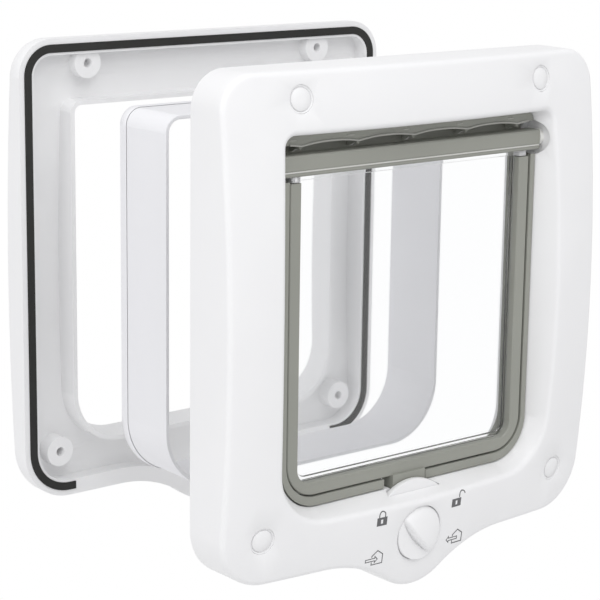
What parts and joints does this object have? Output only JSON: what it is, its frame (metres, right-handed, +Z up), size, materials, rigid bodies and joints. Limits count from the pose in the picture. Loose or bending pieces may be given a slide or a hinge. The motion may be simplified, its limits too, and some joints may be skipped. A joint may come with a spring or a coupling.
{
  "type": "cat flap",
  "caption": "Manual cat flap shown apart along one axis: bowed front frame with clear hinged flap and rotary lock, tunnel liner, and rear frame with a seal.",
  "frame": {"origin": "centre of the four screw posts of the front frame, in the plane where the frame's rim meets the door", "axes": "+Z up, +Y from the house side through the door towards the garden, +X to the right seen from the house side"},
  "size_m": [0.224, 0.1869, 0.2484],
  "materials": {
    "white_plastic": "satin",
    "grey_plastic": "satin",
    "clear_plastic": "glossy",
    "black_rubber": "matte",
    "bearing_plastic": "satin",
    "pin_steel": "polished",
    "zinc_steel": "satin",
    "magnet": "satin"
  },
  "bodies": {
    "front": {"front_frame": "white_plastic", "flap_surround": "grey_plastic", "surround_screws": "zinc_steel", "hinge_bearing_left": "bearing_plastic", "hinge_bearing_right": "bearing_plastic", "tunnel": "white_plastic", "rear_frame": "white_plastic", "rear_seal": "black_rubber", "keeper_magnet": "magnet", "screw_cap_1": "white_plastic", "screw_cap_2": "white_plastic", "screw_cap_3": "white_plastic", "screw_cap_4": "white_plastic"},
    "flap": {"hinge_bar": "grey_plastic", "flap_border": "grey_plastic", "flap_pane": "clear_plastic", "flap_magnet": "magnet", "hinge_pin_left": "pin_steel", "hinge_pin_right": "pin_steel"},
    "lock": {"lock_knob": "white_plastic", "lock_disc": "white_plastic", "lock_screw": "zinc_steel"}
  },
  "joints": [
    {"name": "flap_swing", "type": "hinge", "parent": "front", "child": "flap", "pos_m": [0, -0.017, 0.068], "axis": [1, 0, 0], "range_deg": [0, 80]},
    {"name": "lock_turn", "type": "hinge", "parent": "front", "child": "lock", "pos_m": [0, -0.0243, -0.1109], "axis": [0, -1, 0], "range_deg": [-173, 48]}
  ]
}
